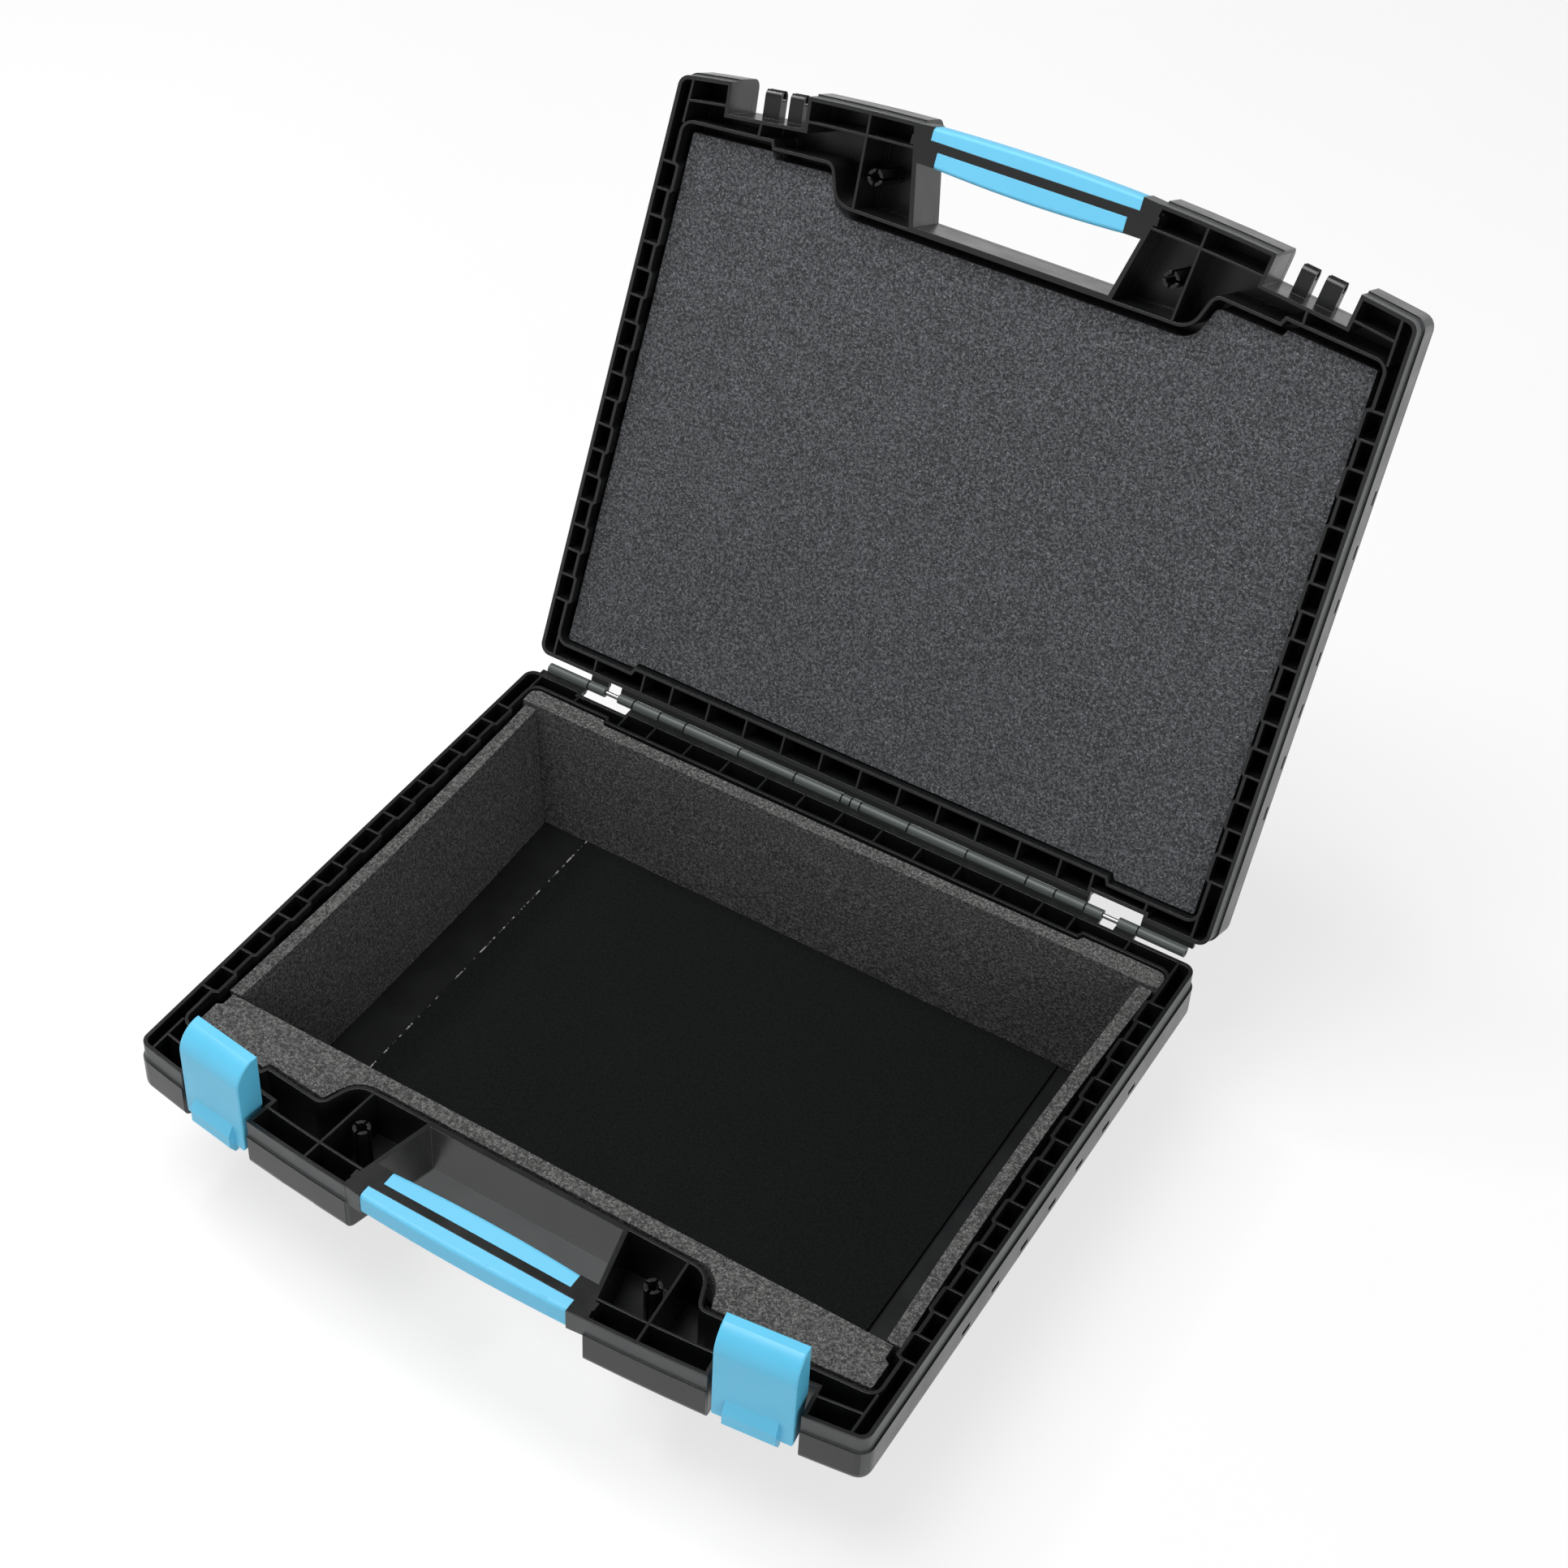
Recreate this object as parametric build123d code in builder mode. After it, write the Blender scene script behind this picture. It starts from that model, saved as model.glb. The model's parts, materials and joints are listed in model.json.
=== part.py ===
from build123d import *
import math
import os

os.makedirs("parts", exist_ok=True)

# The case stands open on the underside of its tray: +X right, +Y to the hinge, +Z up, in millimetres.
# The origin is the middle of the underside, under the middle of the rim between its front and rear corners.

# Overall size of one half at its rim
half_width = 194.4
rear_y = 157.0
front_corner_y = -157.0
front_bow = 16.0
tray_height = 84.0
belt_height = 30.0
corner_radius = 6.0
belt_edge_radius = 5.0

# Closing plane and opening angle
seam_gap = 0.4
lid_opening = 114.5

# Moulded walls
skirt_wall = 2.0
cell_wall = 1.6
rib_wall = 1.2
tub_wall = 2.2
tub_floor_wall = 2.5
roof_wall = 2.2
ledge_wall = 3.0
band_height = 10.0
band_step = 1.0
belt_floor = 2.0
panel_recess = 5.0

# Inner wall of the rim, measured to the middle of its thickness
side_channel = 9.1
cell_step = 1.6
cell_pitch = 14.03
cells_to_rear = 32.2
cells_to_front = 43.3
rear_channel = 12.6
rear_end_step = 3.2
rear_end_length = 48.6
side_rear_channel = 8.8
side_front_channel = 7.9
front_end_gap = 22.3
bay_front_gap = 24.8
bay_front_length = 50.5
bay_front_step = 3.4
shoulder_gap = 29.0
shoulder_to_side = 92.9
shoulder_run = 7.0
middle_channel = 51.7
shoulder_radius = 5.0
middle_radius = 11.0
inner_corner_radius = 6.0
rear_rib_pitch = 22.6
rear_rib_count = 11
rear_end_ribs = (130.5, 160.0)

# Tub of the tray: how far each wall leans in from the rim to the floor
side_lean = 5.9
rear_lean = 3.1
front_lean = 2.4
tub_corner_radius = 8.0
tub_edge_radius = 4.0

# Vent slits low in the side skirts
slit_count = 7
slit_pitch = 26.9
slit_middle_y = 9.0
slit_length = 7.0
slit_height = 2.6
slit_drop = 21.5

# Hand hole and grip
hole_rear_half = 52.0
hole_front_half = 64.0
hole_wall = 2.0
hole_back_wall = 3.0
grip_height = 12.0
grip_core_offset = 7.7
grip_core_width = 4.6
grip_key_height = 2.4
grip_key_depth = 1.4
grip_fit = 0.05
grip_inner_width = 9.6
grip_inner_bow = 1.5
grip_inner_half = 50.0
grip_outer_half = 55.0
grip_edge_radius = 2.0
core_end_width = 20.0

# Ribs and bosses in the blocks beside the hand hole
block_rib_to_hole = 23.1
block_rib_lean = 4.7
bow_rib_inset = 12.0
boss_to_hole = 14.5
boss_to_middle_wall = 18.4
boss_radius = 4.2
boss_bore_radius = 2.5
boss_drop = 1.5
boss_slot = 1.4

# Latch bays in the front
bay_to_side = 50.2
bay_width = 42.8
bay_depth = 16.0
bay_wall = 1.8

# Snap combs in the bays
pin_radius = 2.0
snap_clearance = 0.2
jaw_wall = 1.4
jaw_inset = 5.0
jaw_drop = 18.0
jaw_mouth = 3.0
jaw_outer_span = (0.5, 9.5)
jaw_inner_span = (-12.0, -4.5)

# Latches
latch_width = 38.0
latch_proud = 1.0
latch_wall = 2.0
latch_top = 31.0
latch_back = 12.5
latch_cap_start = 18.0
latch_cap_front = 8.0
latch_bottom = 22.0
latch_foot_back = 6.5
catch_radius = 1.8
tab_width = 25.0
tab_length = 5.0
grip_bar_top = 9.0
grip_bar_slope = 6.0
grip_bar_proud = 3.0
latch_edge_radius = 1.0

# Hinge at the rear
hinge_offset = 6.0
knuckle_radius = 2.7
hinge_bore_radius = 1.35
hinge_rod_radius = 1.27
hinge_flange = 3.0
knuckle_web = 2.5
knuckle_gap = 0.4
flange_gap = 0.2
hinge_rod_half = 184.5
rear_notch_depth = 2.7
rear_notch_height = 9.0
knuckles = ((-185.7, -160.3), (-131.9, -115.5), (-99.8, -66.4), (-33.1, -5.5), (0.0, 5.5),
            (33.1, 66.4), (99.8, 115.5), (131.9, 141.5), (149.6, 160.3))
flange_runs = ((-188.0, -160.3), (-131.9, 141.5), (149.6, 160.3))
rear_notch = (-160.3, -131.9)

# Foam lining
foam_thickness = 8.1
foam_rear_top = 1.0
foam_side_top = 3.0
foam_gap = 0.3
foam_front_y = -108.0
foam_front_margin = 3.6
floor_sheet_half = 142.0
floor_sheet_thickness = 2.0
lid_foam_drop = 5.0
lid_foam_margin = 0.6
lid_foam_front_gap = 4.0

# Values that follow from the sizes above
front_y = front_corner_y - front_bow
arc_radius = (half_width**2 + front_bow**2) / (2 * front_bow)
arc_centre_y = front_y + arc_radius
hinge_y = rear_y + hinge_offset
hinge_z = tray_height + seam_gap / 2
pocket_depth = belt_height - belt_floor
ledge_depth = belt_height - ledge_wall
side_wall_x = half_width - side_channel
rear_wall_y = rear_y - rear_channel
middle_wall_y = front_y + middle_channel
first_cell_y = rear_y - cells_to_rear
cell_room = first_cell_y - front_corner_y - cells_to_front
cell_count = 2 * round((cell_room / cell_pitch - 1) / 2) + 1
last_cell_y = first_cell_y - cell_count * cell_pitch
front_end_x = half_width - side_front_channel
bay_front_x = front_end_x - bay_front_length
shoulder_x = half_width - shoulder_to_side
middle_wall_x = shoulder_x - shoulder_run
block_rib_x = hole_front_half + block_rib_to_hole
boss_x = hole_front_half + boss_to_hole
bay_x = half_width - bay_to_side
bay_angle = math.degrees(math.asin(bay_x / arc_radius))
grip_core_front = front_y + grip_core_offset
grip_core_rear = grip_core_front + grip_core_width
jaw_radius = pin_radius + snap_clearance + jaw_wall


def front_arc_y(x):
    return arc_centre_y - math.sqrt(arc_radius**2 - x**2)


# Outline of the rim seen from above, with its bowed front, grown outwards by a margin
def rim_plan(grow):
    with BuildSketch() as plan:
        with BuildLine():
            Line((-half_width, front_corner_y), (-half_width, rear_y))
            Line((-half_width, rear_y), (half_width, rear_y))
            Line((half_width, rear_y), (half_width, front_corner_y))
            ThreePointArc((half_width, front_corner_y), (0, front_y), (-half_width, front_corner_y))
        make_face()
        fillet(plan.vertices(), corner_radius)
        if grow:
            offset(amount=grow, kind=Kind.INTERSECTION)
    return plan.sketch


# Middle line of the inner wall on the right, from the rear round to the front, with its rounded corners
def inner_wall_line():
    rear_end_x = half_width - side_rear_channel
    step_x = rear_end_x - rear_end_length
    line = [
        (0, rear_wall_y),
        (step_x, rear_wall_y),
        (step_x + cell_step, rear_wall_y + rear_end_step),
        (rear_end_x, rear_wall_y + rear_end_step),
        (rear_end_x, first_cell_y + cell_step / 2),
    ]
    for cell in range(cell_count):
        top = first_cell_y - cell * cell_pitch
        wall_x = side_wall_x - cell_step if cell % 2 == 0 else side_wall_x
        line.append((wall_x, top - cell_step / 2))
        line.append((wall_x, top - cell_pitch + cell_step / 2))
    line += [
        (front_end_x, last_cell_y - cell_step / 2),
        (front_end_x, front_arc_y(front_end_x) + front_end_gap),
        (bay_front_x, front_arc_y(bay_front_x) + bay_front_gap),
        (bay_front_x - cell_step, front_arc_y(bay_front_x) + bay_front_gap + bay_front_step),
        (shoulder_x, front_arc_y(shoulder_x) + shoulder_gap),
        (middle_wall_x, middle_wall_y),
    ]
    rounded = ((3, inner_corner_radius), (-5, inner_corner_radius), (-2, shoulder_radius), (-1, middle_radius))
    return line, rounded


def inner_wall_plan(grow):
    line, rounded = inner_wall_line()
    with BuildSketch() as plan:
        with BuildLine():
            Polyline(*line, *[(-x, y) for x, y in reversed(line[1:])], close=True)
        make_face()
        for index, radius in rounded:
            x, y = line[index]
            for side in (-1, 1):
                fillet(plan.vertices().sort_by_distance((side * x, y))[0], radius)
        if grow:
            offset(amount=grow, kind=Kind.INTERSECTION)
    return plan.sketch


# Hand hole: a trapezoid that runs out through the front
def hole_plan(grow):
    rear = middle_wall_y + cell_wall / 2 - hole_back_wall
    front = front_y - belt_height
    with BuildSketch() as plan:
        with BuildLine():
            Polyline(
                (-hole_rear_half - grow, rear + grow),
                (hole_rear_half + grow, rear + grow),
                (hole_front_half + grow, front_y),
                (hole_front_half + grow, front),
                (-hole_front_half - grow, front),
                (-hole_front_half - grow, front_y),
                close=True,
            )
        make_face()
    return plan.sketch


# Latch bay, square to the bowed front and open at the front
def bay_plan(side, grow):
    with BuildSketch() as plan:
        with Locations(Location((0, arc_centre_y, 0), (0, 0, side * bay_angle))):
            with Locations((0, -arc_radius + grow / 2)):
                Rectangle(bay_width + 2 * grow, 2 * bay_depth + grow)
    return plan.sketch


# Open cells between the skirt and the inner wall
def pocket_plan():
    inner = inner_wall_plan(cell_wall / 2)
    outer = rim_plan(-skirt_wall)
    hole = hole_plan(hole_wall)
    bays = [bay_plan(side, bay_wall) for side in (-1, 1)]
    notch_length = rear_notch[1] - rear_notch[0] + 2 * skirt_wall
    with BuildSketch() as plan:
        add(outer)
        add(inner, mode=Mode.SUBTRACT)
        add(hole, mode=Mode.SUBTRACT)
        add(bays, mode=Mode.SUBTRACT)
        with Locations(((rear_notch[0] + rear_notch[1]) / 2, rear_y)):
            Rectangle(notch_length, 2 * (rear_notch_depth + skirt_wall), mode=Mode.SUBTRACT)
    return plan.sketch


# Ribs that stiffen the cells
def rib_plan():
    inner = inner_wall_plan(0)
    outer = rim_plan(-skirt_wall / 2)
    hole = hole_plan(hole_wall / 2)
    bays = [bay_plan(side, bay_wall / 2) for side in (-1, 1)]
    with BuildSketch() as bow:
        with Locations((0, arc_centre_y)):
            Circle(arc_radius - bow_rib_inset + rib_wall / 2)
            Circle(arc_radius - bow_rib_inset - rib_wall / 2, mode=Mode.SUBTRACT)
        with Locations((0, front_y)):
            Rectangle(2 * front_end_x, 2 * middle_channel, mode=Mode.INTERSECT)
    with BuildSketch() as plan:
        add(bow.sketch)
        for side in (-1, 1):
            for cell in range(cell_count + 1):
                with Locations((side * half_width, first_cell_y - cell * cell_pitch)):
                    Rectangle(2 * side_channel, rib_wall)
            with Locations((side * (half_width - side_rear_channel), rear_y)):
                Rectangle(rib_wall, 2 * rear_channel)
            with Locations((side * front_end_x, front_corner_y)):
                Rectangle(rib_wall, 2 * front_end_gap)
            for x in rear_end_ribs:
                with Locations((side * x, rear_y)):
                    Rectangle(rib_wall, 2 * rear_channel)
            with Locations((side * bay_x, front_arc_y(bay_x) + bay_front_gap)):
                Rectangle(rib_wall, bay_depth)
            middle_y = (middle_wall_y + front_y) / 2
            with Locations(Location((side * block_rib_x, middle_y, 0), (0, 0, side * block_rib_lean))):
                Rectangle(rib_wall, middle_channel)
        with Locations((0, rear_y)):
            with GridLocations(rear_rib_pitch, 1, rear_rib_count, 1):
                Rectangle(rib_wall, 2 * rear_channel)
        add(inner, mode=Mode.SUBTRACT)
        add(hole, mode=Mode.SUBTRACT)
        add(bays, mode=Mode.SUBTRACT)
        add(outer, mode=Mode.INTERSECT)
    return plan.sketch


# A plane square to the X axis of a half: its x is the half's Y, and its y is the half's Z
def side_plane(rim, x):
    return Plane(rim.from_local_coords((x, 0, 0)), x_dir=rim.y_dir, z_dir=rim.x_dir)


# A plane through a latch bay: its x points into the case from the front arc, and its y is the half's Z
def bay_plane(rim, side, along):
    turn = math.radians(side * bay_angle)
    tangent = Vector(math.cos(turn), math.sin(turn), 0)
    inward = Vector(-math.sin(turn), math.cos(turn), 0)
    foot = Vector(0, arc_centre_y, 0) - inward * arc_radius + tangent * along
    return Plane(
        rim.from_local_coords(foot),
        x_dir=rim.x_dir * inward.X + rim.y_dir * inward.Y,
        z_dir=rim.x_dir * tangent.X + rim.y_dir * tangent.Y,
    )


# Section of the tub's inside at a depth below the rim, grown outwards by a margin
def tub_section(depth, grow):
    share = depth / (tray_height - tub_floor_wall)
    side_x = side_wall_x - cell_step - cell_wall / 2 - side_lean * share + grow
    rear = rear_wall_y - cell_wall / 2 - rear_lean * share + grow
    front = middle_wall_y + cell_wall / 2 + front_lean * share - grow
    with BuildSketch() as plan:
        with Locations((0, (rear + front) / 2)):
            RectangleRounded(2 * side_x, rear - front, tub_corner_radius)
    return plan.sketch


# Tapered block with the tub's section, between two depths below the rim
def tub_block(rim, top, bottom, grow):
    upper = tub_section(top, grow)
    lower = tub_section(bottom, grow)
    with BuildPart() as block:
        with BuildSketch(rim.offset(-top)):
            add(upper)
        with BuildSketch(rim.offset(-bottom)):
            add(lower)
        loft()
    return block.part


rim_face = rim_plan(0)
belt_face = rim_plan(band_step)
pocket_face = pocket_plan()
rib_face = rib_plan()
hole_face = hole_plan(0)
bay_faces = [bay_plan(side, 0) for side in (-1, 1)]
cavity_face = inner_wall_plan(-cell_wall / 2)

# The rim plane of the tray, and the same mould turned over and swung open for the lid
tray_rim = Plane.XY.offset(tray_height)
lid_turn = math.radians(lid_opening)
lid_rim = Plane(
    (
        0,
        hinge_y - hinge_y * math.cos(lid_turn) + seam_gap / 2 * math.sin(lid_turn),
        hinge_z + hinge_y * math.sin(lid_turn) + seam_gap / 2 * math.cos(lid_turn),
    ),
    x_dir=(-1, 0, 0),
    z_dir=(0, -math.sin(lid_turn), -math.cos(lid_turn)),
)


# Core of the grip with the beads that key the two soft inserts, and the blocks at its ends
key_top = -(grip_height - grip_key_height) / 2
key_bottom = key_top - grip_key_height
with BuildPart() as grip_core:
    with BuildSketch(Plane.YZ):
        with BuildLine():
            Polyline(
                (grip_core_front, 0),
                (grip_core_rear, 0),
                (grip_core_rear, key_top),
                (grip_core_rear + grip_key_depth, key_top),
                (grip_core_rear + grip_key_depth, key_bottom),
                (grip_core_rear, key_bottom),
                (grip_core_rear, -grip_height),
                (grip_core_front, -grip_height),
                (grip_core_front, key_bottom),
                (grip_core_front - grip_key_depth, key_bottom),
                (grip_core_front - grip_key_depth, key_top),
                (grip_core_front, key_top),
                close=True,
            )
        make_face()
    extrude(amount=hole_front_half + hole_wall / 2, both=True)
    with BuildSketch():
        for side in (-1, 1):
            with BuildLine():
                Polyline(
                    (side * grip_outer_half, front_y + band_step),
                    (side * (hole_front_half + hole_wall / 2), front_y + 2 * band_step),
                    (side * (grip_outer_half + 2 * hole_wall), front_y + core_end_width),
                    (side * grip_inner_half, front_y + core_end_width),
                    (side * grip_inner_half, grip_core_rear),
                    (side * grip_outer_half, grip_core_front),
                    close=True,
                )
            make_face()
    extrude(amount=-grip_height)

# Combs with snap jaws for the latch pins
with BuildPart() as combs:
    for side in (-1, 1):
        for start, end in (jaw_inner_span, jaw_outer_span):
            with BuildSketch(bay_plane(Plane.XY, side, side * (start + end) / 2)):
                with Locations(((jaw_inset + bay_depth + bay_wall / 2) / 2, -jaw_drop)):
                    Rectangle(bay_depth + bay_wall / 2 - jaw_inset, 2 * jaw_radius)
                with Locations((jaw_inset, -jaw_drop)):
                    Circle(jaw_radius)
                    Circle(pin_radius + snap_clearance, mode=Mode.SUBTRACT)
                with Locations((jaw_inset - jaw_radius, -jaw_drop)):
                    Rectangle(2 * jaw_radius, jaw_mouth, mode=Mode.SUBTRACT)
            extrude(amount=(end - start) / 2, both=True)

# Hinge flange and knuckles
flange_tip = hinge_y - knuckle_radius - flange_gap
with BuildPart() as hinge_side:
    for start, end in flange_runs:
        with BuildSketch():
            with Locations(((start + end) / 2, (rear_y - skirt_wall / 2 + flange_tip) / 2)):
                Rectangle(end - start, flange_tip - rear_y + skirt_wall / 2)
        extrude(amount=-hinge_flange)
    for start, end in knuckles:
        with BuildSketch(Plane.YZ.offset((start + end) / 2)):
            with Locations((hinge_y, seam_gap / 2)):
                Circle(knuckle_radius)
            with Locations(((rear_y - skirt_wall / 2 + hinge_y) / 2, -knuckle_web / 2)):
                Rectangle(hinge_y - rear_y + skirt_wall / 2, knuckle_web)
            with Locations((hinge_y, seam_gap / 2)):
                Circle(hinge_bore_radius, mode=Mode.SUBTRACT)
        extrude(amount=(end - start - knuckle_gap) / 2, both=True)

# Screw bosses with cross slots
boss_y = middle_wall_y - boss_to_middle_wall
with BuildPart() as bosses:
    with BuildSketch(Plane.XY.offset(-pocket_depth - belt_floor / 2)):
        with Locations((-boss_x, boss_y), (boss_x, boss_y)):
            Circle(boss_radius)
            Circle(boss_bore_radius, mode=Mode.SUBTRACT)
            Rectangle(2 * boss_radius, boss_slot, mode=Mode.SUBTRACT)
            Rectangle(boss_slot, 2 * boss_radius, mode=Mode.SUBTRACT)
    extrude(amount=pocket_depth + belt_floor / 2 - boss_drop)

# Openings: hand hole, latch bays, the notch beside the hinge, and vent slits low in the side skirts
with BuildPart() as openings:
    with BuildSketch():
        add(hole_face)
        add(bay_faces)
    extrude(amount=-belt_height)
    with BuildSketch():
        with Locations(((rear_notch[0] + rear_notch[1]) / 2, rear_y)):
            Rectangle(rear_notch[1] - rear_notch[0], 2 * rear_notch_depth)
    extrude(amount=-rear_notch_height)
    for side in (-1, 1):
        with BuildSketch(Plane.YZ.offset(side * (half_width - skirt_wall / 2))):
            with Locations((slit_middle_y, -slit_drop)):
                with GridLocations(slit_pitch, 1, slit_count, 1):
                    Rectangle(slit_length, slit_height)
        extrude(amount=skirt_wall, both=True)

# One moulded half, its rim at z = 0: the lid and the tray share its belt, cells, hand hole, bays and knuckles
with BuildPart() as half_mould:
    with BuildSketch(Plane.XY.offset(-band_height)):
        add(belt_face)
    extrude(amount=band_height - belt_height)
    fillet(half_mould.faces().sort_by(Axis.Z)[0].edges(), belt_edge_radius)
    with BuildSketch():
        add(rim_face)
    extrude(amount=-band_height - belt_floor)
    with BuildSketch():
        add(pocket_face)
    extrude(amount=-pocket_depth, mode=Mode.SUBTRACT)
    with BuildSketch():
        add(rib_face)
    extrude(amount=-pocket_depth - belt_floor / 2)
    add(openings.part, mode=Mode.SUBTRACT)
    add([bosses.part, grip_core.part, combs.part, hinge_side.part])

tray_mould = half_mould.part.moved(tray_rim.location)
lid_mould = half_mould.part.moved(lid_rim.location)
tub_outside = tub_block(tray_rim, ledge_depth, tray_height, tub_wall)
tub_inside = tub_block(tray_rim, 0, tray_height - tub_floor_wall, 0)

with BuildPart() as base_shell:
    add(tub_outside)
    fillet(base_shell.faces().sort_by(Axis.Z)[0].edges(), tub_edge_radius)
    add(tray_mould)
    with BuildSketch(tray_rim):
        add(cavity_face)
    extrude(amount=-ledge_depth, mode=Mode.SUBTRACT)
    add(tub_inside, mode=Mode.SUBTRACT)
base_shell.part.label = "base_shell"
export_step(base_shell.part, "parts/base_shell.step")

# Outline of the lid's foam, which is also that of the sunk panel on the lid's outside
lid_foam_face = inner_wall_plan(-cell_wall / 2 - lid_foam_margin)
lid_foam_half = side_wall_x - cell_step - cell_wall / 2 - lid_foam_margin
with BuildSketch() as panel_plan:
    add(lid_foam_face)
    add(lid_foam_face.moved(Location((0, lid_foam_front_gap, 0))), mode=Mode.INTERSECT)
    Rectangle(2 * lid_foam_half, 4 * rear_y, mode=Mode.INTERSECT)

with BuildPart() as lid_shell:
    add(lid_mould)
    with BuildSketch(lid_rim):
        add(cavity_face)
    extrude(amount=roof_wall + panel_recess - belt_height, mode=Mode.SUBTRACT)
    with BuildSketch(lid_rim.offset(-belt_height)):
        add(panel_plan.sketch)
    extrude(amount=panel_recess, mode=Mode.SUBTRACT)
lid_shell.part.label = "lid_shell"
export_step(lid_shell.part, "parts/lid_shell.step")

with BuildPart() as hinge_pin:
    with BuildSketch(Plane.YZ):
        with Locations((hinge_y, hinge_z)):
            Circle(hinge_rod_radius)
    extrude(amount=hinge_rod_half, both=True)
    chamfer(hinge_pin.edges().filter_by(GeomType.CIRCLE), hinge_rod_radius / 4)
hinge_pin.part.label = "hinge_pin"
export_step(hinge_pin.part, "parts/hinge_pin.step")

# Soft insert on the front of the grip core, which follows the bowed front
with BuildPart() as outer_insert:
    with BuildSketch():
        add(rim_face)
        with Locations((0, front_y)):
            Rectangle(2 * (grip_outer_half - grip_fit), 2 * (grip_core_offset - grip_fit), mode=Mode.INTERSECT)
    extrude(amount=-grip_height)
    fillet(outer_insert.edges().filter_by(GeomType.CIRCLE), grip_edge_radius)
    with BuildSketch(Plane.YZ):
        with Locations((grip_core_front, -grip_height / 2)):
            Rectangle(2 * (grip_key_depth + grip_fit), grip_key_height + 2 * grip_fit)
    extrude(amount=grip_outer_half, both=True, mode=Mode.SUBTRACT)

# Soft insert on the inside of the grip core, bowed towards the fingers
insert_front = grip_core_rear + grip_fit
insert_rear = grip_core_rear + grip_inner_width
insert_half = grip_inner_half - grip_fit
with BuildPart() as inner_insert:
    with BuildSketch():
        with BuildLine():
            Line((-insert_half, insert_rear - grip_inner_bow), (-insert_half, insert_front))
            Line((-insert_half, insert_front), (insert_half, insert_front))
            Line((insert_half, insert_front), (insert_half, insert_rear - grip_inner_bow))
            ThreePointArc(
                (insert_half, insert_rear - grip_inner_bow),
                (0, insert_rear),
                (-insert_half, insert_rear - grip_inner_bow),
            )
        make_face()
    extrude(amount=-grip_height)
    fillet(inner_insert.edges().filter_by(GeomType.CIRCLE), grip_edge_radius)
    with BuildSketch(Plane.YZ):
        with Locations((grip_core_rear, -grip_height / 2)):
            Rectangle(2 * (grip_key_depth + grip_fit), grip_key_height + 2 * grip_fit)
    extrude(amount=grip_inner_half, both=True, mode=Mode.SUBTRACT)

with BuildPart() as base_grip_outer:
    add(outer_insert.part.moved(tray_rim.location))
base_grip_outer.part.label = "base_grip_outer"
export_step(base_grip_outer.part, "parts/base_grip_outer.step")

with BuildPart() as base_grip_inner:
    add(inner_insert.part.moved(tray_rim.location))
base_grip_inner.part.label = "base_grip_inner"
export_step(base_grip_inner.part, "parts/base_grip_inner.step")

with BuildPart() as lid_grip_outer:
    add(outer_insert.part.moved(lid_rim.location))
lid_grip_outer.part.label = "lid_grip_outer"
export_step(lid_grip_outer.part, "parts/lid_grip_outer.step")

with BuildPart() as lid_grip_inner:
    add(inner_insert.part.moved(lid_rim.location))
lid_grip_inner.part.label = "lid_grip_inner"
export_step(lid_grip_inner.part, "parts/lid_grip_inner.step")


# Outline of a latch from the side: its x points into the case, and its y is up from the rim
def latch_profile(grow, back):
    front = -latch_proud - grow
    top = latch_top + grow
    with BuildSketch() as plan:
        with BuildLine():
            Line((front, -latch_bottom), (front, latch_cap_start))
            TangentArc((front, latch_cap_start), (latch_cap_front, top), tangent=(0, 1))
            Polyline(
                (latch_cap_front, top),
                (back, top),
                (back, 0),
                (back - latch_back + latch_foot_back, -latch_bottom),
                (front, -latch_bottom),
            )
        make_face()
    return plan.sketch


# Latch: a bowed front and cap, two cheeks, a pin for the tray's combs, a pin for the lid's combs, and a lip
def build_latch(side):
    plane = bay_plane(tray_rim, side, 0)
    outline = latch_profile(0, latch_back)
    hollow = latch_profile(-latch_wall, latch_back + latch_wall)
    with BuildPart() as latch:
        with BuildSketch(plane):
            add(outline)
        extrude(amount=latch_width / 2, both=True)
        outer_edges = []
        for edge in latch.edges():
            place = plane.to_local_coords(edge.center())
            if abs(place.Z) > latch_width / 2 - grip_fit and place.X < latch_cap_front:
                outer_edges.append(edge)
        fillet(outer_edges, latch_edge_radius)
        with BuildSketch(plane):
            add(hollow)
        extrude(amount=latch_width / 2 - latch_wall, both=True, mode=Mode.SUBTRACT)
        with BuildSketch(plane):
            with Locations((jaw_inset, -jaw_drop)):
                Circle(pin_radius)
            with Locations((jaw_inset, seam_gap + jaw_drop)):
                Circle(catch_radius)
        extrude(amount=latch_width / 2 - latch_wall / 2, both=True)
        with BuildSketch(plane):
            with BuildLine():
                Polyline(
                    (latch_wall - latch_proud, -grip_bar_top),
                    (-latch_proud, -grip_bar_top),
                    (-latch_proud - grip_bar_proud, -grip_bar_top - grip_bar_slope),
                    (-latch_proud - grip_bar_proud, -latch_bottom),
                    (-latch_proud, -latch_bottom - tab_length),
                    (latch_wall - latch_proud, -latch_bottom - tab_length),
                    close=True,
                )
            make_face()
        extrude(amount=tab_width / 2, both=True)
    return latch.part


with BuildPart() as latch_left:
    add(build_latch(-1))
latch_left.part.label = "latch_left"
export_step(latch_left.part, "parts/latch_left.step")

with BuildPart() as latch_right:
    add(build_latch(1))
latch_right.part.label = "latch_right"
export_step(latch_right.part, "parts/latch_right.step")

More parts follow.
